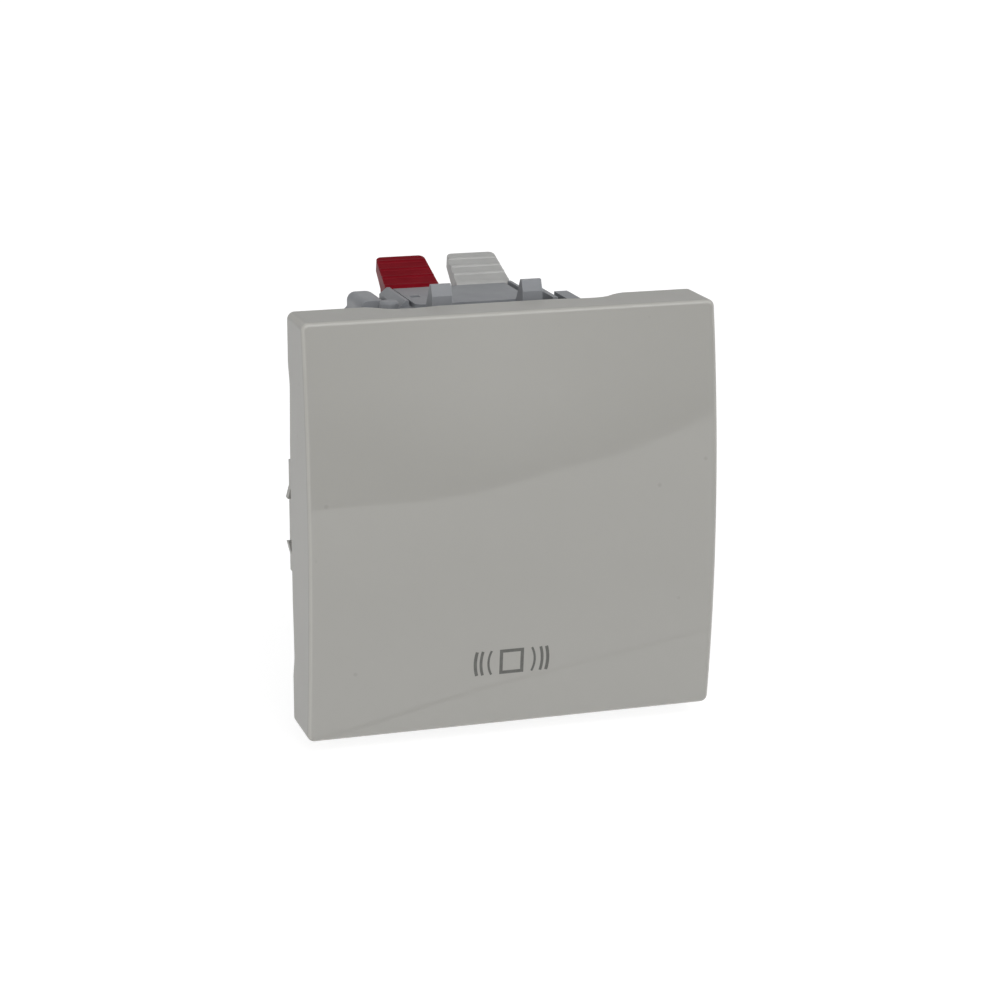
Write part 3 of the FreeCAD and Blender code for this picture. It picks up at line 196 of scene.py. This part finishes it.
def mouldedPlastic(name, finish):
    material, tree, shader = startMaterial(name)
    where = place(tree)
    drift = cloud(tree, where, finish["driftSize"], 3)
    fine = cloud(tree, where, finish["grainSize"], 4, 0.65)
    colour = mixed(tree, ranged(tree, drift, 0, 1), finish["tint"], finish["tintDrift"])
    # sharp edges are mixed unevenly towards a lighter edge tint: partly rubbed wear, partly a
    # painted highlight along every edge
    worn = edgeMask(tree, finish["edgeSize"])
    edgeWearAndHighlight = times(tree, worn, ranged(tree, fine, leastRub, 1))  # edges wear unevenly
    colour = mixed(tree, times(tree, edgeWearAndHighlight, finish["edgeShare"]), colour, finish["edgeTint"])
    # the roundings are mixed towards a lighter tint: a painted highlight along the key's rounded
    # edges
    if "roundHighlightTint" in finish:
        colour = mixed(tree, roundedMask(tree), colour, finish["roundHighlightTint"])
    specks = tree.nodes.new("ShaderNodeTexVoronoi")
    specks.inputs["Scale"].default_value = 1 / (finish["speckGap"] * mm)
    tree.links.new(where, specks.inputs["Vector"])
    away = specks.outputs["Distance"]
    dust = ranged(tree, away, finish["speckShare"], 0, speckCore, finish["speckSize"])
    colour = mixed(tree, dust, colour, finish["speckTint"])
    tree.links.new(colour, shader.inputs["Base Color"])
    gloss, swing = finish["gloss"], finish["glossDrift"]
    gloss = ranged(tree, drift, gloss - swing, gloss + swing)
    gloss = plus(tree, gloss, times(tree, edgeWearAndHighlight, finish["edgeDull"]))
    if "frontPolish" in finish:
        gloss = plus(tree, gloss, times(tree, facing(tree), -finish["frontPolish"]))
    tree.links.new(gloss, shader.inputs["Roughness"])
    shader.inputs["IOR"].default_value = finish["ior"]
    shader.inputs["Specular IOR Level"].default_value = finish["shine"]
    wave = cloud(tree, where, finish["waveSize"], 2, 0.4)
    swell = bumped(tree, None, wave, finish["waveDepth"])
    bumped(tree, shader, fine, finish["grainDepth"], swell)
    return material


ivoryKey = {
    "tint": (0.341, 0.336, 0.315), "tintDrift": (0.336, 0.331, 0.310), "driftSize": 16,
    "gloss": 0.40, "glossDrift": 0.015, "ior": 1.5, "shine": 0.5, "frontPolish": 0.362,
    "grainSize": 0.35, "grainDepth": 0.0003, "waveSize": 9, "waveDepth": 0.002,
    "edgeSize": 0.25, "edgeShare": 0.35, "edgeTint": (0.43, 0.42, 0.39), "edgeDull": 0.04,
    "roundHighlightTint": (0.42, 0.412, 0.385),
    "speckGap": 5.2, "speckSize": 0.06, "speckShare": 0.2, "speckTint": (0.17, 0.16, 0.145),
}
greyMoulding = {
    "tint": (0.238, 0.247, 0.262), "tintDrift": (0.208, 0.217, 0.232), "driftSize": 6,
    "gloss": 0.46, "glossDrift": 0.05, "ior": 1.5, "shine": 0.3,
    "grainSize": 0.12, "grainDepth": 0.004, "waveSize": 3, "waveDepth": 0.006,
    "edgeSize": 0.15, "edgeShare": 0.6, "edgeTint": (0.33, 0.34, 0.355), "edgeDull": 0.1,
    "speckGap": 3, "speckSize": 0.05, "speckShare": 0.3, "speckTint": (0.12, 0.12, 0.125),
}
whiteMoulding = {
    "tint": (0.52, 0.52, 0.50), "tintDrift": (0.47, 0.47, 0.45), "driftSize": 6,
    "gloss": 0.4, "glossDrift": 0.05, "ior": 1.5, "shine": 0.5,
    "grainSize": 0.12, "grainDepth": 0.003, "waveSize": 3, "waveDepth": 0.005,
    "edgeSize": 0.15, "edgeShare": 0.5, "edgeTint": (0.62, 0.62, 0.60), "edgeDull": 0.08,
    "speckGap": 3, "speckSize": 0.05, "speckShare": 0.25, "speckTint": (0.25, 0.25, 0.24),
}
redLever = {
    "tint": (0.184, 0.0022, 0.0085), "tintDrift": (0.156, 0.0018, 0.0070), "driftSize": 2.5,
    "gloss": 0.36, "glossDrift": 0.06, "ior": 1.4, "shine": 0.05,
    "grainSize": 0.14, "grainDepth": 0.005, "waveSize": 1.6, "waveDepth": 0.01,
    "edgeSize": 0.16, "edgeShare": 0.5, "edgeTint": (0.24, 0.03, 0.04), "edgeDull": 0.08,
    "speckGap": 2, "speckSize": 0.05, "speckShare": 0.3, "speckTint": (0.07, 0.004, 0.006),
}
whiteLever = {
    "tint": (0.395, 0.395, 0.385), "tintDrift": (0.365, 0.365, 0.358), "driftSize": 2.5,
    "gloss": 0.42, "glossDrift": 0.05, "ior": 1.5, "shine": 0.35,
    "grainSize": 0.14, "grainDepth": 0.004, "waveSize": 1.6, "waveDepth": 0.01,
    "edgeSize": 0.16, "edgeShare": 0.5, "edgeTint": (0.5, 0.5, 0.49), "edgeDull": 0.08,
    "speckGap": 2, "speckSize": 0.05, "speckShare": 0.25, "speckTint": (0.22, 0.22, 0.21),
}


# metals

rubShare = 0.6  # how much of an edge is rubbed bright
stainSpan = (0.5, 0.75)  # noise from clean to stained


def drawnMetal(name, finish):
    material, tree, shader = startMaterial(name)
    where = place(tree)
    lines = cloud(tree, place(tree, finish["lines"]), finish["lineSize"], 4, 0.6)
    stain = cloud(tree, where, finish["stainSize"], 4)
    colour = mixed(tree, ranged(tree, lines, 0, 1), finish["tint"], finish["tintDrift"])
    stained = ranged(tree, stain, 0, finish["stainShare"], *stainSpan)
    colour = mixed(tree, stained, colour, finish["stainTint"])
    worn = edgeMask(tree, finish["edgeSize"])
    colour = mixed(tree, times(tree, worn, rubShare), colour, finish["edgeTint"])
    tree.links.new(colour, shader.inputs["Base Color"])
    shader.inputs["Metallic"].default_value = 1
    gloss, swing = finish["gloss"], finish["glossDrift"]
    tree.links.new(ranged(tree, lines, gloss - swing, gloss + swing), shader.inputs["Roughness"])
    bumped(tree, shader, lines, finish["lineDepth"])
    return material


brassStrip = {
    "tint": (0.72, 0.50, 0.24), "tintDrift": (0.62, 0.42, 0.20),
    "lines": (1, 1, 0.12), "lineSize": 0.1,
    "stainSize": 2.5, "stainShare": 0.4, "stainTint": (0.38, 0.22, 0.10),
    "edgeSize": 0.12, "edgeTint": (0.85, 0.66, 0.36),
    "gloss": 0.3, "glossDrift": 0.08, "lineDepth": 0.003,
}
steelPin = {
    "tint": (0.56, 0.56, 0.57), "tintDrift": (0.44, 0.44, 0.46),
    "lines": (0.1, 1, 1), "lineSize": 0.08,
    "stainSize": 1.5, "stainShare": 0.3, "stainTint": (0.25, 0.23, 0.21),
    "edgeSize": 0.1, "edgeTint": (0.75, 0.75, 0.76),
    "gloss": 0.28, "glossDrift": 0.08, "lineDepth": 0.002,
}
springSteel = {
    "tint": (0.52, 0.52, 0.54), "tintDrift": (0.40, 0.40, 0.43),
    "lines": (1, 0.3, 1), "lineSize": 0.06,
    "stainSize": 1.2, "stainShare": 0.35, "stainTint": (0.22, 0.19, 0.16),
    "edgeSize": 0.05, "edgeTint": (0.7, 0.7, 0.72),
    "gloss": 0.3, "glossDrift": 0.08, "lineDepth": 0.0015,
}
contactSilver = {
    "tint": (0.82, 0.81, 0.78), "tintDrift": (0.70, 0.69, 0.66),
    "lines": (1, 1, 1), "lineSize": 0.15,
    "stainSize": 0.8, "stainShare": 0.5, "stainTint": (0.34, 0.31, 0.27),
    "edgeSize": 0.08, "edgeTint": (0.9, 0.89, 0.87),
    "gloss": 0.34, "glossDrift": 0.1, "lineDepth": 0.003,
}

finishes = {
    "ivory": mouldedPlastic("ivoryKey", ivoryKey),
    "grey_polymer": mouldedPlastic("greyMoulding", greyMoulding),
    "white_polymer": mouldedPlastic("whiteMoulding", whiteMoulding),
    "red_polymer": mouldedPlastic("redLever", redLever),
    "white_lever_polymer": mouldedPlastic("whiteLever", whiteLever),
    "brass_bar": drawnMetal("brassStrip", brassStrip),
    "steel": drawnMetal("steelPin", steelPin),
    "spring_steel": drawnMetal("springSteel", springSteel),
    "silver": drawnMetal("contactSilver", contactSilver),
}
for row in frame["record"]["subparts"]:
    node = nodes[row["node"]]
    node.data.materials.clear()
    node.data.materials.append(finishes[row["material_slot"]])
print("finishes on the solids:", len(finishes))


# the printed sign on the key: a square between two groups of sound waves

sign = {
    "middle": (-0.39, -15.25), "square": (2.68, 2.8), "stroke": 0.36, "thick": 0.02, "sink": 0.01,
    "waves": ((2.58, 2.9, 0.24), (3.41, 4.6, 0.31), (4.04, 5.0, 0.35)),  # away, radius, stroke
    "waveHalf": 1.36, "waveSteps": 14, "faceReach": 8.0, "bulge": 1.85, "half": 22.5,
    "tint": (0.080, 0.080, 0.074), "worn": (0.105, 0.105, 0.098), "smoothAngle": 35,
    "patchSize": 0.5, "grainSize": 0.08, "grainDepth": 0.002, "gloss": (0.3, 0.5),
}


def faceDepth(z):
    # y of the key's face at height z, in millimetres
    return -sign["faceReach"] - sign["bulge"] * (1 - (z / sign["half"]) ** 2)


def inkStrip(bm, points, width):
    # ribbon of even width along points (x, z) that lies on the bowed face
    rows = []
    for index, (x, z) in enumerate(points):
        before = points[max(index - 1, 0)]
        after = points[min(index + 1, len(points) - 1)]
        run = Vector((after[0] - before[0], after[1] - before[1])).normalized()
        side = Vector((-run.y, run.x)) * width / 2
        row = []
        for sx, out in ((1, 0), (-1, 0), (-1, 1), (1, 1)):
            px, pz = x + side.x * sx, z + side.y * sx
            py = faceDepth(pz) + sign["sink"] - out * (sign["thick"] + sign["sink"])
            row.append(bm.verts.new((px * mm, py * mm, pz * mm)))
        rows.append(row)
    for first, second in zip(rows, rows[1:]):
        for k in range(4):
            bm.faces.new((first[k], first[(k + 1) % 4], second[(k + 1) % 4], second[k]))
    bm.faces.new(rows[0][::-1])
    bm.faces.new(rows[-1])


def finishMesh(bm, name, material, body):
    bmesh.ops.recalc_face_normals(bm, faces=bm.faces[:])
    mesh = bpy.data.meshes.new(name)
    bm.to_mesh(mesh)
    bm.free()
    piece = bpy.data.objects.new(name, mesh)
    bpy.context.scene.collection.objects.link(piece)
    mesh.materials.append(material)
    mesh.shade_smooth()
    mesh.set_sharp_from_angle(angle=radians(sign["smoothAngle"]))
    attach(piece, body)


def printedInk(name, tint, worn):
    material, tree, shader = startMaterial(name)
    where = place(tree)
    patchy = cloud(tree, where, sign["patchSize"], 3)
    fine = cloud(tree, where, sign["grainSize"], 3)
    tree.links.new(mixed(tree, ranged(tree, patchy, 0, 1), tint, worn), shader.inputs["Base Color"])
    tree.links.new(ranged(tree, fine, *sign["gloss"]), shader.inputs["Roughness"])
    bumped(tree, shader, fine, sign["grainDepth"])
    return material


def arcPoints(cx, cz, radius, fromAngle, toAngle):
    steps = sign["waveSteps"]
    angles = [fromAngle + (toAngle - fromAngle) * i / steps for i in range(steps + 1)]
    return [(cx + radius * cos(a), cz + radius * sin(a)) for a in angles]


bm = bmesh.new()
mx, mz = sign["middle"]
halfX, halfZ = sign["square"][0] / 2, sign["square"][1] / 2
inset = sign["stroke"] / 2
for side in (-1, 1):
    barZ = mz + side * (halfZ - inset)
    barX = mx + side * (halfX - inset)
    inner = halfZ - sign["stroke"]
    inkStrip(bm, [(mx - halfX, barZ), (mx + halfX, barZ)], sign["stroke"])
    inkStrip(bm, [(barX, mz - inner), (barX, mz + inner)], sign["stroke"])
    for away, radius, stroke in sign["waves"]:
        reach = asin(sign["waveHalf"] / radius)
        turn = 0 if side > 0 else pi
        wave = arcPoints(mx + side * (away - radius), mz, radius, turn - reach, turn + reach)
        inkStrip(bm, wave, stroke)
finishMesh(bm, "keySign", printedInk("signInk", sign["tint"], sign["worn"]), "key")
print("sign printed on the key")


# floor and world

stage = {
    "floorHalf": 3.0, "floorDrop": 0.05, "floorTint": (0.8, 0.8, 0.8),
    "floorShade": (0.3, 0.3, 0.3), "floorGlow": 0.86, "worldLevel": 0.4,
}


def whiteForCamera(tree, lit, white):
    # camera, mirror and glass rays see white, the rest see the plain shader
    path = tree.nodes.new("ShaderNodeLightPath")
    both = plus(tree, path.outputs["Is Camera Ray"], path.outputs["Is Glossy Ray"])
    every = plus(tree, both, path.outputs["Is Transmission Ray"])
    mix = tree.nodes.new("ShaderNodeMixShader")
    tree.links.new(every, mix.inputs[0])
    tree.links.new(lit, mix.inputs[1])
    tree.links.new(white, mix.inputs[2])
    return mix.outputs[0]


world = bpy.data.worlds.new("studio")
bpy.context.scene.world = world
world.use_nodes = True
tree = world.node_tree
tree.nodes.clear()
soft = tree.nodes.new("ShaderNodeBackground")
soft.inputs["Strength"].default_value = stage["worldLevel"]
white = tree.nodes.new("ShaderNodeBackground")
white.inputs["Color"].default_value = (1, 1, 1, 1)
white.inputs["Strength"].default_value = 1
out = tree.nodes.new("ShaderNodeOutputWorld")
tree.links.new(whiteForCamera(tree, soft.outputs[0], white.outputs[0]), out.inputs["Surface"])

floorMesh = bpy.data.meshes.new("floor")
half = stage["floorHalf"]
corners = [(-half, -half, 0), (half, -half, 0), (half, half, 0), (-half, half, 0)]
floorMesh.from_pydata(corners, [], [(0, 1, 2, 3)])
floor = bpy.data.objects.new("floor", floorMesh)
floor.location.z = cadLow.z - stage["floorDrop"] * mm
bpy.context.scene.collection.objects.link(floor)
material = bpy.data.materials.new("paleFloor")
material.use_nodes = True
tree = material.node_tree
tree.nodes.clear()
plain = tree.nodes.new("ShaderNodeBsdfDiffuse")
plain.inputs["Color"].default_value = (*stage["floorTint"], 1)
glow = tree.nodes.new("ShaderNodeEmission")
glow.inputs["Strength"].default_value = stage["floorGlow"]
faint = tree.nodes.new("ShaderNodeBsdfDiffuse")
faint.inputs["Color"].default_value = (*stage["floorShade"], 1)
lifted = tree.nodes.new("ShaderNodeAddShader")
tree.links.new(faint.outputs[0], lifted.inputs[0])
tree.links.new(glow.outputs[0], lifted.inputs[1])
# from below the floor is clear, so the underside can be looked at
below = tree.nodes.new("ShaderNodeNewGeometry")
clear = tree.nodes.new("ShaderNodeBsdfTransparent")
side = tree.nodes.new("ShaderNodeMixShader")
tree.links.new(below.outputs["Backfacing"], side.inputs[0])
tree.links.new(whiteForCamera(tree, plain.outputs[0], lifted.outputs[0]), side.inputs[1])
tree.links.new(clear.outputs[0], side.inputs[2])
out = tree.nodes.new("ShaderNodeOutputMaterial")
tree.links.new(side.outputs[0], out.inputs["Surface"])
floorMesh.materials.append(material)
print("floor and world set")


# what only reflections see: the sheet with its fold, the dim room past the sheet and the soft box

# x and y of the sheet's front edge and of its fold, in millimetres, from left to right
paperEdge = (
    (-900, -122), (5, -124), (22, -125), (34, -134), (51, -158), (75, -191), (110, -257),
    (700, -1500),
)
foldEdge = ((-60, 3), (-21, -8.6), (-13, -11), (-3, -14.5), (9, -18), (25, -23), (90, -45))
sheet = {
    "lift": 1, "foldWide": 0.8, "nearBack": ((90, 0), (-21, 0)), "nearLevel": 1.4, "foldShadeLevel": 0.9,
    "level": (1.08, 1.4), "levelSpan": (-0.045, -0.014),  # from far to near, y in metres
}
room = {
    "reach": 1.6, "high": 1.5, "ceilingEnd": 0.3, "level": 0.26, "backLevel": 0.6,
    "glowLevel": 0.98, "glowSide": 0.296, "glowSpread": 0.12, "glowStart": 0.15,
}
softBox = {"left": -0.5, "right": 1.1, "front": (-1.3, 0.42), "rear": (-0.4, 0.95), "level": 2.5}


def cardPaint(name, level):
    # level is a number, or a function that makes a socket for it from the split object coordinates
    material = bpy.data.materials.new(name)
    material.use_nodes = True
    tree = material.node_tree
    tree.nodes.clear()
    dim = tree.nodes.new("ShaderNodeEmission")
    if callable(level):
        coord = tree.nodes.new("ShaderNodeTexCoord")
        split = tree.nodes.new("ShaderNodeSeparateXYZ")
        tree.links.new(coord.outputs["Object"], split.inputs[0])
        tree.links.new(level(tree, split), dim.inputs["Strength"])
    else:
        dim.inputs["Strength"].default_value = level
    out = tree.nodes.new("ShaderNodeOutputMaterial")
    tree.links.new(dim.outputs[0], out.inputs["Surface"])
    return material


def card(name, paint, points):
    mesh = bpy.data.meshes.new(name)
    mesh.from_pydata(points, [], [tuple(range(len(points)))])
    mesh.materials.append(paint)
    piece = bpy.data.objects.new(name, mesh)
    bpy.context.scene.collection.objects.link(piece)
    piece.visible_camera = False
    piece.visible_diffuse = False
    piece.visible_shadow = False
    piece.visible_transmission = False
    piece.visible_volume_scatter = False


def roomLevel(tree, split):
    # the room glows straight ahead of the face and fades to both sides and towards the sheet
    ahead = times(tree, split.outputs["Y"], -1)
    sideways = reckoned(tree, "DIVIDE", split.outputs["X"], ahead)
    nearness = reckoned(tree, "DIVIDE", room["glowStart"], ahead)
    middle, spread = room["glowSide"], room["glowSpread"]
    fromLeft = ranged(tree, sideways, 0, 1, middle - spread, middle)
    fromRight = ranged(tree, sideways, 1, 0, middle, middle + spread)
    glow = times(tree, times(tree, fromLeft, fromRight), ranged(tree, nearness, 1, 0, 0, 1))
    return ranged(tree, glow, room["level"], room["glowLevel"], 0, 1)


def sheetLevel(tree, split):
    # the sheet is brightest next to the object
    return ranged(tree, split.outputs["Y"], *sheet["level"], *sheet["levelSpan"])


reach, high = room["reach"], room["high"]
low = cadLow.z + sheet["lift"] * mm


def flat(points, drop=0.0):
    # points on the floor, moved to the front by drop
    return [(x * mm, (y - drop) * mm, low) for x, y in points]


def upright(y):
    return [(-reach, y, low), (reach, y, low), (reach, y, high), (-reach, y, high)]


roomPaint = cardPaint("dimRoom", roomLevel)
card("roomFloor", roomPaint, flat(paperEdge) + [(reach, -reach, low), (-reach, -reach, low)])
card("roomWall", roomPaint, upright(-reach))
card("roomCeiling", roomPaint, [
    (-reach, -reach, high), (reach, -reach, high),
    (reach, room["ceilingEnd"], high), (-reach, room["ceilingEnd"], high),
])
card("roomBack", cardPaint("backRoom", room["backLevel"]), upright(reach))
wide = sheet["foldWide"]
card("nearSheet", cardPaint("nearSheet", sheet["nearLevel"]),
     flat(foldEdge[1:]) + flat(sheet["nearBack"]))
# the fold strip is dimmer than the sheet on both sides of it: painted shade along the fold, seen
# only in reflections
card("sheetFold", cardPaint("sheetFold", sheet["foldShadeLevel"]),
     flat(foldEdge) + flat(foldEdge[::-1], wide))
card("sheet", cardPaint("sheet", sheetLevel), flat(foldEdge, wide) + flat(paperEdge[::-1]))
card("softBox", cardPaint("softBox", softBox["level"]), [
    (softBox["left"], *softBox["front"]), (softBox["right"], *softBox["front"]),
    (softBox["right"], *softBox["rear"]), (softBox["left"], *softBox["rear"]),
])
print("reflection cards placed")


# lamps: place, width and height in metres, power in watts

lamps = {
    "overheadLamp": ((0.25, -0.75, 0.85), (1.0, 0.9), 5.2),
    "frontLamp": ((0.1, -1.0, 0.24), (0.7, 0.4), 1.9),
    "leftLamp": ((-0.75, -0.75, 0.3), (0.6, 0.5), 3.4),
    "rearLamp": ((0.5, 1.1, 0.4), (0.7, 0.5), 3.5),
}
for name, (spot, size, power) in lamps.items():
    lamp = bpy.data.lights.new(name, "AREA")
    lamp.shape = "RECTANGLE"
    lamp.size, lamp.size_y = size
    lamp.energy = power
    holder = bpy.data.objects.new(name, lamp)
    holder.location = spot
    holder.rotation_euler = (-Vector(spot)).to_track_quat("-Z", "Y").to_euler()
    holder.visible_glossy = False
    bpy.context.scene.collection.objects.link(holder)
print("lamps:", len(lamps))


# camera: place in millimetres, turn and dip in degrees

view = {
    "place": (-82.77, -273.55, 77.15), "turn": 17.040, "dip": 12.982,
    "lens": 98.22, "sensor": 36, "shift": -0.1, "near": 0.01, "far": 10,
}
camera = bpy.data.cameras.new("camera")
camera.lens = view["lens"]
camera.sensor_width = view["sensor"]
camera.shift_y = view["shift"]
camera.clip_start = view["near"]
camera.clip_end = view["far"]
holder = bpy.data.objects.new("camera", camera)
holder.location = [v * mm for v in view["place"]]
holder.rotation_euler = (radians(90 - view["dip"]), 0, radians(-view["turn"]))
bpy.context.scene.collection.objects.link(holder)
bpy.context.scene.camera = holder
bpy.context.scene.view_settings.view_transform = "Standard"
print("camera set")
